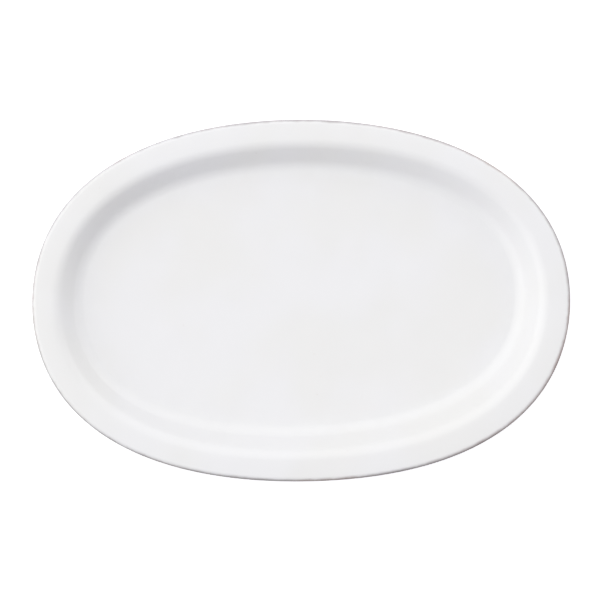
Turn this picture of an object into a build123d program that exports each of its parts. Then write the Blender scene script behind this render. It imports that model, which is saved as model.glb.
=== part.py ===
from build123d import *
from math import atan, cos, degrees, radians, sin
import os

# An oval rimmed serving platter: pressed clay, a foot ring luted on underneath, and a fired glaze coat.
# Millimetres. X runs along the platter, Y across it, Z up. The origin is on the table, under the centre.
# The wall is one band of even thickness, so its section is drawn as a centre line and shifted either way.

# Outline: an oval of eight tangent arcs, two for the ends, four for the shoulders and two for the sides
LENGTH = 406.0
WIDTH = 273.0
END_RADIUS = 120.0
END_HALF_ANGLE = 59.5
SHOULDER_RADIUS = 219.0

# Section, measured inwards from the outline and up from the table
THICKNESS = 5.0           # clay and glaze together, the same from lip to well
GLAZE = 0.5
WELL_DEPTH = 16.0         # from the rim's crest down to the well floor
FOOT_RECESS = 3.5         # from the table up to the glazed base
CREST_INSET = 15.2        # highest line of the rim
RIM_SLOPE = 4.0           # degrees that the rim falls away at the lip
LIP_ROUND = 3.6           # the lip rolls down over this from the face
WALL_SLOPE = 48.0         # degrees, the straight part of the well's wall
ROLL_RADIUS = 11.5        # rim to wall, on the face
COVE_RADIUS = 13.0        # wall to floor, on the face

# Foot ring, bare on the bottom where the glaze is wiped off before firing
FOOT_INSET = 43.5
FOOT_WIDTH = 6.0
FOOT_ROUND = 1.2
GLAZE_LINE = 1.7          # the glaze stops this far above the table
GLAZE_COVE = 1.5          # glaze pooled where the foot meets the underside

# Inside this inset every layer is flat, so the middle is a plain slab
CORE_INSET = 60.0

HALF = THICKNESS / 2
CLAY_HALF = HALF - GLAZE
FLOOR_CENTRE = FOOT_RECESS + HALF
CREST_CENTRE = FLOOR_CENTRE + WELL_DEPTH
LIP_UNDERCUT = THICKNESS - LIP_ROUND
LIP_INSET = LIP_ROUND - (LIP_ROUND - HALF) * sin(radians(RIM_SLOPE))  # puts the lip on the outline
DOME_RADIUS = (CREST_INSET - LIP_INSET) / sin(radians(RIM_SLOPE))
LIP_CENTRE = Vector(LIP_INSET, CREST_CENTRE - DOME_RADIUS * (1 - cos(radians(RIM_SLOPE))))
ROLL_DROP = (ROLL_RADIUS - HALF) * (1 - cos(radians(WALL_SLOPE)))
COVE_DROP = (COVE_RADIUS + HALF) * (1 - cos(radians(WALL_SLOPE)))
WALL_RUN = (WELL_DEPTH - ROLL_DROP - COVE_DROP) / sin(radians(WALL_SLOPE))
CLAY_UNDERSIDE = FOOT_RECESS + GLAZE
FOOT_INNER = FOOT_INSET + FOOT_WIDTH


def outline_arcs():
    """The oval's arcs anticlockwise, each as its centre, radius, start angle and swept angle."""
    end = Vector(LENGTH / 2 - END_RADIUS, 0)
    reach = END_RADIUS - SHOULDER_RADIUS
    shoulder = end + Vector(cos(radians(END_HALF_ANGLE)), sin(radians(END_HALF_ANGLE))) * reach
    side_start = 90 - 2 * degrees(atan((WIDTH / 2 - shoulder.Y - SHOULDER_RADIUS) / shoulder.X))
    side_radius = SHOULDER_RADIUS + shoulder.X / cos(radians(side_start))
    side = Vector(0, WIDTH / 2 - side_radius)
    turn = side_start - END_HALF_ANGLE
    return [
        (end, END_RADIUS, -END_HALF_ANGLE, 2 * END_HALF_ANGLE),
        (shoulder, SHOULDER_RADIUS, END_HALF_ANGLE, turn),
        (side, side_radius, side_start, 180 - 2 * side_start),
        (Vector(-shoulder.X, shoulder.Y), SHOULDER_RADIUS, 180 - side_start, turn),
        (-end, END_RADIUS, 180 - END_HALF_ANGLE, 2 * END_HALF_ANGLE),
        (-shoulder, SHOULDER_RADIUS, 180 + END_HALF_ANGLE, turn),
        (-side, side_radius, 180 + side_start, 180 - 2 * side_start),
        (Vector(shoulder.X, -shoulder.Y), SHOULDER_RADIUS, 360 - side_start, turn),
    ]


def lip_point(shift):
    """Where the rim's skin leaves the round lip, on the face or on the back."""
    return LIP_CENTRE + Vector(-sin(radians(RIM_SLOPE)), cos(radians(RIM_SLOPE))) * shift


def wall_line(shift, last_inset):
    """The section from the lip to the flat floor, shifted up (or down) from the wall's centre line."""
    slope = radians(RIM_SLOPE)
    dome = JernArc(lip_point(shift), (cos(slope), sin(slope)), DOME_RADIUS + shift, -RIM_SLOPE)
    roll = JernArc(dome @ 1, dome % 1, ROLL_RADIUS - HALF + shift, -WALL_SLOPE)
    wall = PolarLine(roll @ 1, WALL_RUN, direction=roll % 1)
    cove = JernArc(wall @ 1, wall % 1, COVE_RADIUS + HALF - shift, WALL_SLOPE)
    floor = Line(cove @ 1, (last_inset, (cove @ 1).Y))
    return [dome, roll, wall, cove, floor]


def lip_line(shift):
    """Off the face, down over the rolled edge, round the tighter undercut and along to the back."""
    outwards = Vector(-cos(radians(RIM_SLOPE)), -sin(radians(RIM_SLOPE)))
    buried = HALF - shift
    edge = JernArc(lip_point(shift), outwards, LIP_ROUND - buried, 90)
    undercut = JernArc(edge @ 1, edge % 1, LIP_UNDERCUT - buried, 90)
    return [edge, undercut, Line(undercut @ 1, lip_point(-shift))]


def closed(*lines):
    """A face bounded by lines that meet end to end."""
    edges = [edge for line in lines for edge in line.edges()]
    return Face(Wire.combine(edges)[0])


def clay_section():
    face = wall_line(CLAY_HALF, CORE_INSET)
    back = wall_line(-CLAY_HALF, CORE_INSET)
    return closed(*face, *back, *lip_line(CLAY_HALF), Line(face[-1] @ 1, back[-1] @ 1))


def face_glaze_section():
    outer = wall_line(HALF, CORE_INSET)
    inner = wall_line(CLAY_HALF, CORE_INSET)
    return closed(*outer, *inner, Line(outer[0] @ 0, inner[0] @ 0), Line(outer[-1] @ 1, inner[-1] @ 1))


def lip_glaze_section():
    outer = lip_line(HALF)
    inner = lip_line(CLAY_HALF)
    return closed(*outer, *inner, Line(outer[0] @ 0, inner[0] @ 0), Line(outer[-1] @ 1, inner[-1] @ 1))


def back_glaze_section():
    """Down the underside from the lip, then down the foot's outer side to the glaze line."""
    outer = wall_line(-HALF, FOOT_INSET - GLAZE - GLAZE_COVE)
    inner = wall_line(-CLAY_HALF, FOOT_INSET)
    pooled = JernArc(outer[-1] @ 1, (1, 0), GLAZE_COVE, -90)
    skirt = Line(pooled @ 1, (FOOT_INSET - GLAZE, GLAZE_LINE))
    hem = Line(skirt @ 1, (FOOT_INSET, GLAZE_LINE))
    contact = Line(hem @ 1, inner[-1] @ 1)
    return closed(*outer, pooled, skirt, hem, contact, *inner, Line(outer[0] @ 0, inner[0] @ 0))


def base_glaze_section():
    """Up the foot's inner side from the glaze line, then across the recessed base."""
    hem = Line((FOOT_INNER, GLAZE_LINE), (FOOT_INNER + GLAZE, GLAZE_LINE))
    skirt = Line(hem @ 1, (FOOT_INNER + GLAZE, FOOT_RECESS - GLAZE_COVE))
    pooled = JernArc(skirt @ 1, (0, 1), GLAZE_COVE, -90)
    outer = Line(pooled @ 1, (CORE_INSET, FOOT_RECESS))
    edge = Line(outer @ 1, (CORE_INSET, CLAY_UNDERSIDE))
    inner = Line(edge @ 1, (FOOT_INNER, CLAY_UNDERSIDE))
    return closed(hem, skirt, pooled, outer, edge, inner, Line(inner @ 1, hem @ 0))


def foot_section():
    """A plain coil, rounded where it stands on the table and flat where it is luted to the base."""
    coil = Rectangle(FOOT_WIDTH, CLAY_UNDERSIDE, align=(Align.MIN, Align.MIN))
    return Pos(FOOT_INSET, 0) * fillet(coil.vertices().group_by(Axis.Y)[0], FOOT_ROUND).face()


def around(section):
    """The section carried round the oval, one revolved sector for each arc."""
    sectors = []
    for centre, radius, start, turn in outline_arcs():
        outward = Vector(cos(radians(start)), sin(radians(start)))
        start_point = centre + outward * radius
        plane = Plane(origin=start_point, x_dir=-outward, z_dir=(-outward).cross(Vector(0, 0, 1)))
        sectors.append(revolve(plane * section, Axis(centre, (0, 0, 1)), turn))
    return sectors


def core(bottom, top):
    """The flat slab inside the ring of sectors."""
    arcs = []
    for centre, radius, start, turn in outline_arcs():
        arcs.append(CenterArc(centre, radius - CORE_INSET, start, turn))
    return Pos(0, 0, bottom) * extrude(closed(*arcs), top - bottom)


def joined(name, solids):
    """One named solid out of pieces that share faces."""
    whole = solids[0].fuse(*solids[1:]).clean()
    whole = whole.solid()
    whole.label = name
    return whole


def build_nodes():
    well_floor = FOOT_RECESS + THICKNESS
    clay_core = core(CLAY_UNDERSIDE, well_floor - GLAZE)
    face_core = core(well_floor - GLAZE, well_floor)
    base_core = core(FOOT_RECESS, CLAY_UNDERSIDE)
    return [
        joined("clay_body", around(clay_section()) + [clay_core]),
        joined("foot_ring", around(foot_section())),
        joined("face_glaze", around(face_glaze_section()) + [face_core]),
        joined("lip_glaze", around(lip_glaze_section())),
        joined("back_glaze", around(back_glaze_section())),
        joined("base_glaze", around(base_glaze_section()) + [base_core]),
    ]


os.makedirs("parts", exist_ok=True)
for node in build_nodes():
    export_step(node, os.path.join("parts", node.label + ".step"))
    box = node.bounding_box()
    print(f"{node.label}: {node.volume / 1000:.1f} cm3, z {box.min.Z:.2f} to {box.max.Z:.2f}")
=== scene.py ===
import math

import bpy
import numpy as np
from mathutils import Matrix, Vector


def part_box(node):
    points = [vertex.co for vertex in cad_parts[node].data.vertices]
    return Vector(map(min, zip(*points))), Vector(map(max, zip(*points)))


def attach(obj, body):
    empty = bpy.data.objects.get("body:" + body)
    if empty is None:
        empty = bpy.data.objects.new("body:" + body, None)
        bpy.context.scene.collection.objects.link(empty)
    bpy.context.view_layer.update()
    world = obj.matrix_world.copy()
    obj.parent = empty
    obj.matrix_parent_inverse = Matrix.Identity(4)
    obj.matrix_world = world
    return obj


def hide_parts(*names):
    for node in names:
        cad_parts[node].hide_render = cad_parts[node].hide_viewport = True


# An oval platter in white glaze on a plain pale floor, seen from straight above in soft light.
# Metres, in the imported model's frame: X along the platter, Y across it, Z up, the table at zero.
# The looks are one section swept round one oval, cut into the same six pieces as the CAD model.

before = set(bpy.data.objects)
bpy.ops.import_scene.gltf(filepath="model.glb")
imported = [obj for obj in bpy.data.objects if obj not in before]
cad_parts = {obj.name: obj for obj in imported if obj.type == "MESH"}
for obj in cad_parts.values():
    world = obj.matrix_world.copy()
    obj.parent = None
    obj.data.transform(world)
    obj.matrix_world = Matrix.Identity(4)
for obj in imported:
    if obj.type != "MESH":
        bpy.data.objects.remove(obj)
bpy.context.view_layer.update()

MM = 0.001

# Read from the frame
LIP_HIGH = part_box("lip_glaze")[1]
FACE_LOW, FACE_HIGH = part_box("face_glaze")
BACK_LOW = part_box("back_glaze")[0]
BASE_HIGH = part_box("base_glaze")[1]
CLAY_LOW, CLAY_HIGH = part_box("clay_body")
FOOT_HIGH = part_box("foot_ring")[1]
HALF_LENGTH = LIP_HIGH.x
HALF_WIDTH = LIP_HIGH.y
CREST = FACE_HIGH.z
GLAZE = CREST - CLAY_HIGH.z
WELL_FLOOR = FACE_LOW.z + GLAZE
CLAY_UNDERSIDE = CLAY_LOW.z
BASE = CLAY_UNDERSIDE - GLAZE
GLAZE_LINE = BACK_LOW.z
FOOT_OUTER = HALF_LENGTH - FOOT_HIGH.x
FOOT_INNER = HALF_LENGTH - BASE_HIGH.x

# The section's shape, as the model has it
CREST_INSET = 15.2 * MM
RIM_SLOPE = math.radians(4)
LIP_ROUND = 3.6 * MM
WALL_SLOPE = math.radians(48)
ROLL_RADIUS = 11.5 * MM
COVE_RADIUS = 13 * MM
FOOT_ROUND = 1.2 * MM
GLAZE_COVE = 1.5 * MM

HALF = (WELL_FLOOR - BASE) / 2
CLAY_HALF = HALF - GLAZE
LIP_UNDERCUT = 2 * HALF - LIP_ROUND
LIP_INSET = LIP_ROUND - (LIP_ROUND - HALF) * math.sin(RIM_SLOPE)
DOME_RADIUS = (CREST_INSET - LIP_INSET) / math.sin(RIM_SLOPE)
LIP_CENTRE = (LIP_INSET, CREST - HALF - DOME_RADIUS * (1 - math.cos(RIM_SLOPE)))
CURVE_DROP = (ROLL_RADIUS + COVE_RADIUS) * (1 - math.cos(WALL_SLOPE))
WALL_RUN = (CREST - WELL_FLOOR - CURVE_DROP) / math.sin(WALL_SLOPE)

# What the hand and the kiln did to the plain oval
SHOULDERS = 4
SHOULDER_FULLNESS = 0.018                    # they stand out from an ellipse by twice this share
HAND_WAVES = [
    # waves round the rim, height as a share of the radius, degrees from +X to a crest
    (1, 0.005, 270),                         # the front side bows out a little more than the back
    (2, 0.0025, 45),                         # so do the back right and front left shoulders
    (3, 0.003, 100),                         # and it is faintly three sided and five sided
    (5, 0.0015, 20),
]
RIM_DRIFT = (-0.5 * MM, 0.5 * MM)            # the whole well sits a little towards the back left
WELL_DRIFT = (-1.5 * MM, 1.5 * MM)           # and its floor slumped on that way
WELL_TURN = math.radians(1)                  # and it is turned a little in its rim
WARP_HEIGHT = 0.35 * MM                      # slow rise and fall of the rim
RIPPLE_HEIGHT = 0.05 * MM                    # the glaze's own waviness

# Painted light: the thin glaze's dark colour is painted lighter round one side of the platter, the left,
# where the light falls
LIT_SIDE_AZIMUTH = math.radians(180)
LIT_SIDE_LIGHTENING = 0.25              # 0 leaves it thin there, 1 brings it up to an even coat, painted lighter as light

# How much glaze there is at a point of the skin, from 0, thin, to 1, pooled; the thin end is also painted
# darker as shade, the pooled end painted lighter as light
EVEN_COVER = 0.5
FACE_LIP_COVER = 0.34        # where the face meets the lip band
LIP_COVER = [
    # share of the way round the lip from face to back, cover
    (0, FACE_LIP_COVER), (0.25, 0.16), (0.55, 0.0), (0.75, 0.08), (0.94, 0.3), (1, 0.36),
]
BACK_COVER = [
    # share of the way from the lip down to the glaze line
    (0, 0.36), (0.1, 0.5), (0.75, 0.5), (0.85, 0.62), (0.92, 0.6), (0.96, 0.45), (1, 0.05),
]
BASE_COVER = [
    # share of the way from the glaze line up to the base
    (0, 0.05), (0.25, 0.4), (0.5, 0.62), (0.85, 0.66), (1, 0.52),
]
FLOOR_COVER = (0.62, 0.55)   # the pool in the cove thins out over the floor's first rings, painted lighter there as light

# Mesh density
AROUND = 512
HIDDEN_AROUND = 192
DOME_STEPS, ROLL_STEPS, WALL_STEPS, COVE_STEPS = 12, 14, 6, 14
FLOOR_STEPS = 26
EDGE_STEPS, UNDERCUT_STEPS = 22, 12
SMALL_STEPS = 6
HIDDEN_STEPS = 4
SHARP_ANGLE = math.radians(40)


# ---------------------------------------------------------------- section lines

class Pen:
    """Draws tangent lines and arcs in the section, inwards from the outline and up from the table."""

    def __init__(self, start, heading):
        self.points = [tuple(start)]
        self.heading = heading

    def line(self, length, steps):
        x, z = self.points[-1]
        for k in range(1, steps + 1):
            reach = length * k / steps
            self.points.append((x + reach * math.cos(self.heading), z + reach * math.sin(self.heading)))

    def arc(self, radius, turn, steps):
        x, z = self.points[-1]
        side = math.copysign(radius, turn)
        centre = (x - side * math.sin(self.heading), z + side * math.cos(self.heading))
        for k in range(1, steps + 1):
            angle = self.heading + turn * k / steps
            self.points.append((centre[0] + side * math.sin(angle), centre[1] - side * math.cos(angle)))
        self.heading += turn

    def to(self, inset, height, steps):
        x, z = self.points[-1]
        for k in range(1, steps + 1):
            share = k / steps
            self.points.append((x + (inset - x) * share, z + (height - z) * share))


def lip_point(shift):
    """Where the rim's skin leaves the round lip, on the face or on the back."""
    return (LIP_CENTRE[0] - shift * math.sin(RIM_SLOPE), LIP_CENTRE[1] + shift * math.cos(RIM_SLOPE))


def wall_line(shift):
    """From the lip to the edge of the flat floor, shifted up (or down) from the wall's centre line."""
    pen = Pen(lip_point(shift), RIM_SLOPE)
    pen.arc(DOME_RADIUS + shift, -RIM_SLOPE, DOME_STEPS)
    pen.arc(ROLL_RADIUS - HALF + shift, -WALL_SLOPE, ROLL_STEPS)
    pen.line(WALL_RUN, WALL_STEPS)
    pen.arc(COVE_RADIUS + HALF - shift, WALL_SLOPE, COVE_STEPS)
    return pen.points


def lip_line(shift):
    """Off the face, down over the rolled edge, round the tighter undercut and along to the back."""
    buried = HALF - shift
    pen = Pen(lip_point(shift), math.pi + RIM_SLOPE)
    pen.arc(LIP_ROUND - buried, math.pi / 2, EDGE_STEPS)
    pen.arc(LIP_UNDERCUT - buried, math.pi / 2, UNDERCUT_STEPS)
    pen.line(LIP_ROUND - LIP_UNDERCUT, steps=2)
    return pen.points


def back_line():
    """Outer skin of the back, from the lip to the glaze line on the foot's outer side."""
    wall = wall_line(-HALF)
    pen = Pen(wall[-1], 0)
    pen.to(FOOT_OUTER - GLAZE - GLAZE_COVE, BASE, steps=2)
    pen.arc(GLAZE_COVE, -math.pi / 2, SMALL_STEPS)
    pen.to(FOOT_OUTER - GLAZE, GLAZE_LINE, steps=4)
    return wall + pen.points[1:]


def base_line():
    """Outer skin of the base, from the glaze line on the foot's inner side to where the floor is flat."""
    pen = Pen((FOOT_INNER + GLAZE, GLAZE_LINE), math.pi / 2)
    pen.to(FOOT_INNER + GLAZE, BASE - GLAZE_COVE, steps=3)
    pen.arc(GLAZE_COVE, -math.pi / 2, SMALL_STEPS)
    return pen.points


# ---------------------------------------------------------------- the oval and its unevenness

def outline(count):
    """Points round the oval, anticlockwise from +X, and the unit vectors pointing inwards at them.

    The uneven oval is stretched back to the model's length and width.
    """
    t = np.linspace(0, 2 * math.pi, count, endpoint=False)
    radius = 1 + SHOULDER_FULLNESS * (1 - np.cos(SHOULDERS * t))
    for around, height, crest in HAND_WAVES:
        radius += height * np.cos(around * (t - math.radians(crest)))
    points = np.stack([radius * np.cos(t) * HALF_LENGTH, radius * np.sin(t) * HALF_WIDTH], -1)
    low, high = points.min(0), points.max(0)
    points = (points - (low + high) / 2) * (2 * np.array([HALF_LENGTH, HALF_WIDTH]) / (high - low))
    along = np.roll(points, -1, 0) - np.roll(points, 1, 0)
    along /= np.linalg.norm(along, axis=1, keepdims=True)
    return points, np.stack([-along[:, 1], along[:, 0]], -1)


def smooth(share):
    """Eases 0 to 1, and stays level outside."""
    share = np.clip(share, 0, 1)
    return share * share * (3 - 2 * share)


def waves(seed, count, shortest, longest):
    """A smooth random height field of unit spread, as a sum of plane waves."""
    rng = np.random.default_rng(seed)
    length = np.exp(rng.uniform(math.log(shortest), math.log(longest), count))
    direction = rng.uniform(0, math.pi, count)
    phase = rng.uniform(0, 2 * math.pi, count)
    kx, ky = 2 * math.pi * np.cos(direction) / length, 2 * math.pi * np.sin(direction) / length
    weight = math.sqrt(2 / count)

    def field(x, y):
        total = np.zeros_like(x)
        for a, b, p in zip(kx, ky, phase):
            total += weight * np.sin(a * x + b * y + p)
        return total

    return field


WARP = waves(seed=3, count=8, shortest=0.22, longest=0.5)
RIPPLE = waves(seed=11, count=28, shortest=0.018, longest=0.06)
FLOOR_EDGE = wall_line(HALF)[-1][0]


def place(inset, height, scale, oval):
    """One ring of the swept section: the oval moved inwards, shrunk to the middle, drifted and warped."""
    points, inwards = oval
    rim_share = smooth(inset / CREST_INSET)
    well_share = smooth((inset - CREST_INSET) / (FLOOR_EDGE - CREST_INSET))
    drift = np.array(RIM_DRIFT) * rim_share + np.array(WELL_DRIFT) * well_share
    c, s = math.cos(WELL_TURN * rim_share), math.sin(WELL_TURN * rim_share)
    xy = (points + inwards * inset) * scale @ np.array([[c, s], [-s, c]]) + drift
    x, y = xy[:, 0], xy[:, 1]
    lift = smooth((height - BASE) / (CREST - BASE)) * WARP_HEIGHT * WARP(x, y)
    lift += smooth((height - GLAZE_LINE) / (BASE - GLAZE_LINE)) * RIPPLE_HEIGHT * RIPPLE(x, y)
    return np.stack([x, y, height + lift], -1)


# ---------------------------------------------------------------- building the pieces

def rows_of(line):
    """Section points as rows of (inset, height, scale, cover), evenly covered."""
    return [(inset, height, 1.0, EVEN_COVER) for inset, height in line]


def middle_rows(inset, height, steps):
    """Rows that shrink from a ring to the middle of the platter, and stop short of it."""
    return [(inset, height, 1 - k / steps, EVEN_COVER) for k in range(1, steps)]


def sweep(name, rows, around, poles=False):
    """A closed mesh: the rows carried round the oval, joined last to first, or each end to its pole."""
    oval = outline(around)
    rings = [place(inset, height, scale, oval) for inset, height, scale, _ in rows]
    vertices = np.concatenate(rings)
    azimuth = np.linspace(0, 2 * math.pi, around, endpoint=False)
    # painted light: thin glaze brought up towards an even coat on the lit left side
    painted_light = LIT_SIDE_LIGHTENING * (0.5 + 0.5 * np.cos(azimuth - LIT_SIDE_AZIMUTH)) ** 2
    cover = np.concatenate([row[3] + max(EVEN_COVER - row[3], 0) * painted_light for row in rows])
    count = len(rows)
    ring_pairs = [(i, i + 1) for i in range(count - 1)] + ([] if poles else [(count - 1, 0)])
    step = np.arange(around)
    after = np.roll(step, -1)
    faces = []
    for a, b in ring_pairs:
        quads = np.stack([a * around + step, a * around + after, b * around + after, b * around + step], -1)
        faces += quads.tolist()
    if poles:
        first, last = len(vertices), len(vertices) + 1
        ends = [place(rows[k][0], rows[k][1], 0.0, oval)[:1] for k in (0, -1)]
        vertices = np.concatenate([vertices] + ends)
        cover = np.append(cover, [EVEN_COVER, EVEN_COVER])
        faces += [[first, int(j), int(i)] for i, j in zip(step, after)]
        final = (count - 1) * around
        faces += [[last, int(final + i), int(final + j)] for i, j in zip(step, after)]
    mesh = bpy.data.meshes.new(name)
    mesh.from_pydata(vertices.tolist(), [], faces)
    mesh.attributes.new("glaze_cover", "FLOAT", "POINT").data.foreach_set("value", cover.astype(np.float32))
    mesh.shade_smooth()
    mesh.set_sharp_from_angle(angle=SHARP_ANGLE)
    mesh.update()
    piece = bpy.data.objects.new(name, mesh)
    bpy.context.scene.collection.objects.link(piece)
    return piece


def covered(line, stops):
    """Rows for a skin whose glaze cover changes along it; stops are (share of the rows, cover)."""
    places = np.linspace(0, 1, len(line))
    covers = np.interp(places, [share for share, _ in stops], [cover for _, cover in stops])
    return [(inset, height, 1.0, float(cover)) for (inset, height), cover in zip(line, covers)]


def add_face_glaze():
    """Thin at the lip, a little thin again past the rim's crest, and pooled in the cove, which is also
    painted lighter as light where the wall shades the floor.
    """
    steps = DOME_STEPS + ROLL_STEPS + WALL_STEPS + COVE_STEPS
    crest = DOME_STEPS / steps
    roll_end = (DOME_STEPS + ROLL_STEPS) / steps
    wall_end = 1 - COVE_STEPS / steps
    rim = [(0, FACE_LIP_COVER), (0.08, 0.47), (crest, 0.46)]
    wall = [(crest + 0.1, 0.42), (roll_end, 0.5), (wall_end, 0.56)]
    cove = [(0.93, 0.74), (1, 0.7)]
    outer = covered(wall_line(HALF), rim + wall + cove)
    inner = rows_of(wall_line(CLAY_HALF))
    floor = middle_rows(FLOOR_EDGE, WELL_FLOOR, FLOOR_STEPS)
    for k, cover in enumerate(FLOOR_COVER):
        floor[k] = (*floor[k][:3], cover)
    under = middle_rows(FLOOR_EDGE, WELL_FLOOR - GLAZE, HIDDEN_STEPS)
    rows = floor[::-1] + outer[::-1] + inner + under
    return sweep("face_glaze_coat", rows, AROUND, poles=True)


def add_lip_glaze():
    outer = covered(lip_line(HALF), LIP_COVER)
    inner = rows_of(lip_line(CLAY_HALF))
    return sweep("lip_glaze_band", outer + inner[::-1], AROUND)


def add_back_glaze():
    outer = covered(back_line(), BACK_COVER)
    inner = rows_of(wall_line(-CLAY_HALF) + [(FOOT_OUTER, CLAY_UNDERSIDE), (FOOT_OUTER, GLAZE_LINE)])
    return sweep("back_glaze_coat", outer + inner[::-1], AROUND)


def add_base_glaze():
    line = base_line()
    outer = covered(line, BASE_COVER)
    middle = middle_rows(line[-1][0], BASE, FLOOR_STEPS)
    top = middle_rows(FOOT_INNER, CLAY_UNDERSIDE, HIDDEN_STEPS)
    inner = rows_of([(FOOT_INNER, GLAZE_LINE), (FOOT_INNER, CLAY_UNDERSIDE)])
    return sweep("base_glaze_panel", middle[::-1] + outer[::-1] + inner + top, AROUND, poles=True)


def add_foot_ring():
    """The bare coil: down the outer side, across the flat that stands on the table, and up again."""
    pen = Pen((FOOT_OUTER, CLAY_UNDERSIDE), -math.pi / 2)
    pen.to(FOOT_OUTER, FOOT_ROUND, steps=4)
    pen.arc(FOOT_ROUND, math.pi / 2, SMALL_STEPS)
    pen.to(FOOT_INNER - FOOT_ROUND, 0, steps=5)
    pen.arc(FOOT_ROUND, math.pi / 2, SMALL_STEPS)
    pen.to(FOOT_INNER, CLAY_UNDERSIDE, steps=4)
    return sweep("foot_ring_clay", rows_of(pen.points), AROUND)


def add_clay_body():
    """The lump inside the glaze, which no view shows, so its lip keeps only every fourth point."""
    line = wall_line(CLAY_HALF)
    face = rows_of(line)[::-1]
    lip = rows_of(lip_line(CLAY_HALF)[1:-1:4])
    back = rows_of(wall_line(-CLAY_HALF))
    top = middle_rows(line[-1][0], WELL_FLOOR - GLAZE, HIDDEN_STEPS)[::-1]
    bottom = middle_rows(line[-1][0], CLAY_UNDERSIDE, HIDDEN_STEPS)
    return sweep("clay_core", top + face + lip + back + bottom, HIDDEN_AROUND, poles=True)


# ---------------------------------------------------------------- materials

class Nodes:
    """Short calls for building one node tree."""

    def __init__(self, tree):
        self.tree = tree

    def link(self, source, socket):
        self.tree.links.new(source, socket)

    def feed(self, sockets, values):
        """Sets each socket to a number or a colour, or links an output to it."""
        for socket, value in zip(sockets, values):
            if isinstance(value, (int, float)):
                socket.default_value = value
            elif isinstance(value, tuple):
                socket.default_value = (*value, 1)
            else:
                self.link(value, socket)

    def math(self, operation, a, b):
        node = self.tree.nodes.new("ShaderNodeMath")
        node.operation = operation
        self.feed(node.inputs, (a, b))
        return node.outputs["Value"]

    def ramp(self, value, low, high, to_low=0.0, to_high=1.0, easing="SMOOTHSTEP"):
        """value's stretch from low to high, laid onto the stretch from to_low to to_high."""
        node = self.tree.nodes.new("ShaderNodeMapRange")
        node.interpolation_type = easing
        names = ("Value", "From Min", "From Max", "To Min", "To Max")
        self.feed([node.inputs[name] for name in names], (value, low, high, to_low, to_high))
        return node.outputs["Result"]

    def mix(self, factor, a, b):
        node = self.tree.nodes.new("ShaderNodeMix")
        node.data_type = "RGBA"
        self.link(factor, node.inputs["Factor"])
        self.feed([socket for socket in node.inputs if socket.type == "RGBA"], (a, b))
        return [socket for socket in node.outputs if socket.type == "RGBA"][0]


class Surface(Nodes):
    """One material's node tree."""

    def __init__(self, name):
        self.material = bpy.data.materials.new(name)
        self.material.use_nodes = True
        super().__init__(self.material.node_tree)
        self.shader = self.tree.nodes["Principled BSDF"]
        self.place = self.tree.nodes.new("ShaderNodeTexCoord").outputs["Object"]

    def noise(self, size, detail, roughness=0.5):
        """Noise whose features are about size metres across."""
        node = self.tree.nodes.new("ShaderNodeTexNoise")
        node.inputs["Scale"].default_value = 1 / size
        node.inputs["Detail"].default_value = detail
        node.inputs["Roughness"].default_value = roughness
        self.link(self.place, node.inputs["Vector"])
        return node.outputs["Fac"]

    def cells(self, size):
        """Distance from the nearest of random points about size metres apart, in cell widths."""
        node = self.tree.nodes.new("ShaderNodeTexVoronoi")
        node.inputs["Scale"].default_value = 1 / size
        self.link(self.place, node.inputs["Vector"])
        return node.outputs["Distance"]

    def attribute(self, name):
        node = self.tree.nodes.new("ShaderNodeAttribute")
        node.attribute_name = name
        return node.outputs["Fac"]

    def height(self):
        node = self.tree.nodes.new("ShaderNodeSeparateXYZ")
        self.link(self.place, node.inputs["Vector"])
        return node.outputs["Z"]

    def bump(self, layers):
        """Stacked bumps, each a height output and its depth in metres."""
        normal = None
        for height, depth in layers:
            node = self.tree.nodes.new("ShaderNodeBump")
            node.inputs["Strength"].default_value = 1
            node.inputs["Distance"].default_value = depth
            self.link(height, node.inputs["Height"])
            if normal is not None:
                self.link(normal, node.inputs["Normal"])
            normal = node.outputs["Normal"]
        self.link(normal, self.shader.inputs["Normal"])

    def finish(self, colour, roughness, ior):
        self.link(colour, self.shader.inputs["Base Color"])
        self.link(roughness, self.shader.inputs["Roughness"])
        self.shader.inputs["IOR"].default_value = ior
        return self.material


COOL_WHITE = (0.793, 0.793, 0.813)
WARM_WHITE = (0.782, 0.780, 0.784)
# Pooled glaze, also painted lighter than the even glaze as light, offsetting the shade at the wall's foot
POOLED_AND_LIT_WHITE = (0.810, 0.812, 0.826)
# The thin-glaze colours are clay showing through thin glaze, and are also painted darker than that as shade
# on the lip's edge
THIN_GLAZE_AND_SHADE = (0.410, 0.380, 0.386)
PINK_GLAZE_AND_SHADE = (0.450, 0.378, 0.364)
TOASTED = (0.420, 0.270, 0.170)
BARE_CLAY = (0.560, 0.440, 0.350)
DARK_CLAY = (0.400, 0.300, 0.225)
PALE_CLAY = (0.640, 0.530, 0.440)
SPECK = (0.420, 0.330, 0.250)
GLAZE_IOR, CLAY_IOR = 1.5, 1.45


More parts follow.
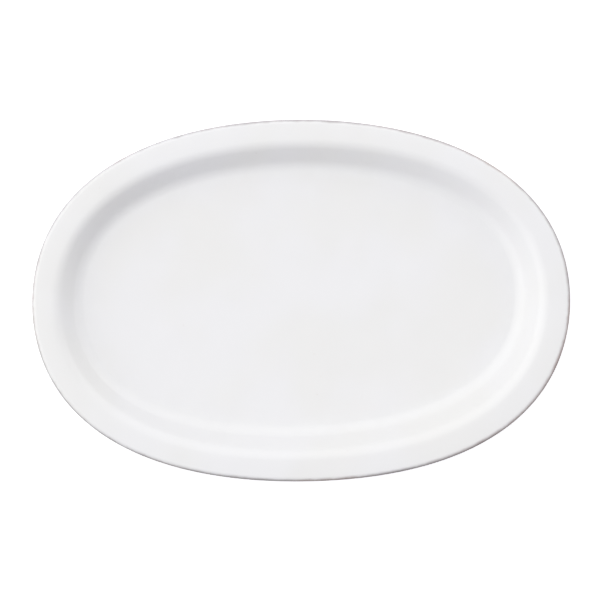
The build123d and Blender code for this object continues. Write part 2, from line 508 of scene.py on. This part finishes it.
def glaze(name, waviness):
    """White glaze over pinkish clay: clouded; pooled in the coves, where it is also painted lighter as
    light; and thin where it runs off an edge, where it is also painted darker as shade.
    """
    n = Surface(name)
    clouds = n.ramp(n.noise(80 * MM, 2), 0.38, 0.66)
    colour = n.mix(clouds, COOL_WHITE, WARM_WHITE)
    cover = n.attribute("glaze_cover")
    wander = n.math("MULTIPLY", n.math("SUBTRACT", n.noise(9 * MM, 3), 0.5), 0.22)
    uneven = n.math("ADD", cover, wander)
    pooled_and_lit = n.ramp(uneven, 0.55, 0.85)
    # pooled glaze, painted lighter as light in the cove and the floor's first rings
    colour = n.mix(pooled_and_lit, colour, POOLED_AND_LIT_WHITE)
    # thin glaze shows the clay, painted darker than that as shade on the lip's edge
    thin_and_shade = n.ramp(uneven, 0.30, 0.06)
    edge = n.mix(n.ramp(n.noise(70 * MM, 1), 0.48, 0.62), THIN_GLAZE_AND_SHADE, PINK_GLAZE_AND_SHADE)
    colour = n.mix(thin_and_shade, colour, edge)
    sparse = n.ramp(n.noise(21 * MM, 1), 0.56, 0.62)
    speck = n.math("MULTIPLY", n.ramp(n.cells(7 * MM), 0.045, 0.02), sparse)
    colour = n.mix(n.math("MULTIPLY", speck, 0.5), colour, SPECK)
    film = n.ramp(n.noise(16 * MM, 4, 0.6), 0.3, 0.7, to_low=0.10, to_high=0.20)
    roughness = n.math("ADD", film, n.math("MULTIPLY", thin_and_shade, 0.14))
    n.bump([
        (n.noise(14 * MM, 1), waviness),
        (n.noise(3.2 * MM, 2), 0.012 * MM),
        (n.ramp(n.cells(5 * MM), 0.0, 0.07), 0.03 * MM),
    ])
    return n.finish(colour, roughness, GLAZE_IOR)


def bare_clay(name):
    """Fired clay with grain and grog, toasted where the glaze stops."""
    n = Surface(name)
    colour = n.mix(n.ramp(n.noise(25 * MM, 3), 0.3, 0.7), BARE_CLAY, PALE_CLAY)
    grain = n.noise(0.9 * MM, 4, 0.65)
    colour = n.mix(n.ramp(grain, 0.52, 0.74), colour, DARK_CLAY)
    edge = n.math("ADD", n.height(), n.math("MULTIPLY", n.noise(5 * MM, 2), 0.8 * MM))
    toasted = n.ramp(edge, GLAZE_LINE - 0.7 * MM, GLAZE_LINE + 0.2 * MM)
    colour = n.mix(n.math("MULTIPLY", toasted, 0.7), colour, TOASTED)
    roughness = n.ramp(grain, 0.3, 0.7, to_low=0.72, to_high=0.9)
    n.bump([(grain, 0.05 * MM), (n.noise(6 * MM, 2), 0.08 * MM)])
    return n.finish(colour, roughness, CLAY_IOR)


# ---------------------------------------------------------------- stage

LIP_HEIGHT = LIP_CENTRE[1]
CAMERA_HEIGHT = 2.5          # above the lip
SENSOR_WIDTH = 36            # millimetres
PLATTER_SHARE = 0.897        # of the picture's width
AIM = (-0.0009, 0.0004)      # the camera stands a hair to the back left of the middle
FLOOR_SIZE = 8
FLOOR_PAPER = 0.9            # both its whiteness and its roughness
FLOOR_GLOW = 0.5
EVEN_SKY = 0.34
BROAD_LIGHTS = [
    # azimuth anticlockwise from +X, height above the horizon, strength, tightness
    (20, 10, 0.8, 3),        # low, past the right end
    (60, 35, 0.9, 3.5),      # back right
    (165, 45, 1.4, 4),       # back left, the strongest
    (210, 20, 0.9, 4),       # low, past the front left
]
SKY_TINT = (0.96, 0.95, 1.07)           # the sky is a little cool and the lights a little warm
LIGHT_TINT = (1.02, 1.02, 0.96)
GROUND_AZIMUTH = 100         # the ground is lit at the back and dark at the front
GROUND_DARK, GROUND_LIGHT = 0.0, 1.3
GROUND_EDGE = -0.5           # cosine of the turn from that azimuth at which the ground is dark
HORIZON_LOW, HORIZON_HIGH = -0.06, 0.04


def add_floor():
    """A pale sheet that the camera sees and that neither lights the platter nor shades it."""
    bpy.ops.mesh.primitive_plane_add(size=FLOOR_SIZE)
    floor = bpy.context.object
    floor.name = "floor"
    material = bpy.data.materials.new("floor_paper")
    material.use_nodes = True
    paper = material.node_tree.nodes["Principled BSDF"]
    paper.inputs["Base Color"].default_value = (FLOOR_PAPER, FLOOR_PAPER, FLOOR_PAPER, 1)
    paper.inputs["Roughness"].default_value = FLOOR_PAPER
    paper.inputs["Emission Color"].default_value = (1, 1, 1, 1)
    paper.inputs["Emission Strength"].default_value = FLOOR_GLOW
    floor.data.materials.append(material)
    floor.visible_diffuse = False
    floor.visible_glossy = False
    floor.visible_shadow = False


def add_world():
    """An even sky with a few broad lights and none at the front right, over a ground lit at the back."""
    world = bpy.data.worlds.new("studio")
    bpy.context.scene.world = world
    world.use_nodes = True
    n = Nodes(world.node_tree)
    background = n.tree.nodes["Background"]
    direction = n.tree.nodes.new("ShaderNodeTexCoord").outputs["Generated"]

    def facing(azimuth, height):
        """Cosine of the angle from the direction looked in to the one named, both in degrees."""
        a, h = math.radians(azimuth), math.radians(height)
        node = n.tree.nodes.new("ShaderNodeVectorMath")
        node.operation = "DOT_PRODUCT"
        n.link(direction, node.inputs[0])
        node.inputs[1].default_value = (math.cos(h) * math.cos(a), math.cos(h) * math.sin(a), math.sin(h))
        return node.outputs["Value"]

    lights = 0
    for azimuth, height, strength, tightness in BROAD_LIGHTS:
        lobe = n.math("POWER", n.math("MAXIMUM", facing(azimuth, height), 0), tightness)
        lights = n.math("ADD", n.math("MULTIPLY", lobe, strength), lights)
    sky = n.math("ADD", lights, EVEN_SKY)
    ground = n.ramp(facing(GROUND_AZIMUTH, 0), GROUND_EDGE, 1, GROUND_DARK, GROUND_LIGHT, "LINEAR")
    above = n.ramp(facing(0, 90), HORIZON_LOW, HORIZON_HIGH, easing="LINEAR")
    below = n.math("SUBTRACT", 1, above)
    strength = n.math("ADD", n.math("MULTIPLY", sky, above), n.math("MULTIPLY", ground, below))
    n.link(strength, background.inputs["Strength"])
    n.link(n.mix(n.math("DIVIDE", lights, sky), SKY_TINT, LIGHT_TINT), background.inputs["Color"])


def add_strip(name, azimuth, zenith, distance, width, height, power):
    """A strip light aimed at the platter, its long side level; azimuth is anticlockwise from +X.

    The angles are in degrees, zenith from straight up, and the lengths in metres.
    """
    light = bpy.data.lights.new(name, "AREA")
    light.shape = "RECTANGLE"
    light.size = width
    light.size_y = height
    light.energy = power
    lamp = bpy.data.objects.new(name, light)
    a, z = math.radians(azimuth), math.radians(zenith)
    away = Vector((math.cos(a) * math.sin(z), math.sin(a) * math.sin(z), math.cos(z)))
    lamp.location = away * distance
    lamp.rotation_euler = away.to_track_quat("Z", "Y").to_euler()
    bpy.context.scene.collection.objects.link(lamp)


def add_camera():
    """Straight above, far enough back that the sides of the platter stay hidden."""
    data = bpy.data.cameras.new("camera")
    data.sensor_width = SENSOR_WIDTH
    data.lens = data.sensor_width * CAMERA_HEIGHT / (2 * HALF_LENGTH / PLATTER_SHARE)
    camera = bpy.data.objects.new("camera", data)
    camera.location = (AIM[0], AIM[1], LIP_HEIGHT + CAMERA_HEIGHT)
    bpy.context.scene.collection.objects.link(camera)
    bpy.context.scene.camera = camera


# ---------------------------------------------------------------- putting it together

PIECES = [
    # builder, CAD node, material
    (add_face_glaze, "face_glaze", glaze("face_glaze_white", 0.03 * MM)),
    # the lip band's thin glaze is also painted darker as shade
    (add_lip_glaze, "lip_glaze", glaze("lip_glaze_thin_and_shaded", 0.03 * MM)),
    (add_back_glaze, "back_glaze", glaze("back_glaze_white", 0.05 * MM)),
    (add_base_glaze, "base_glaze", glaze("base_glaze_white", 0.05 * MM)),
    (add_foot_ring, "foot_ring", bare_clay("foot_clay")),
    (add_clay_body, "clay_body", bare_clay("core_clay")),
]

for build, node, material in PIECES:
    piece = build()
    piece.data.materials.append(material)
    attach(piece, "root")
    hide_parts(node)

add_floor()
add_world()
add_strip("strip", azimuth=206, zenith=42, distance=1.8, width=1.2, height=0.12, power=0.35)
add_camera()
bpy.context.scene.view_settings.view_transform = "Standard"

bpy.context.view_layer.update()
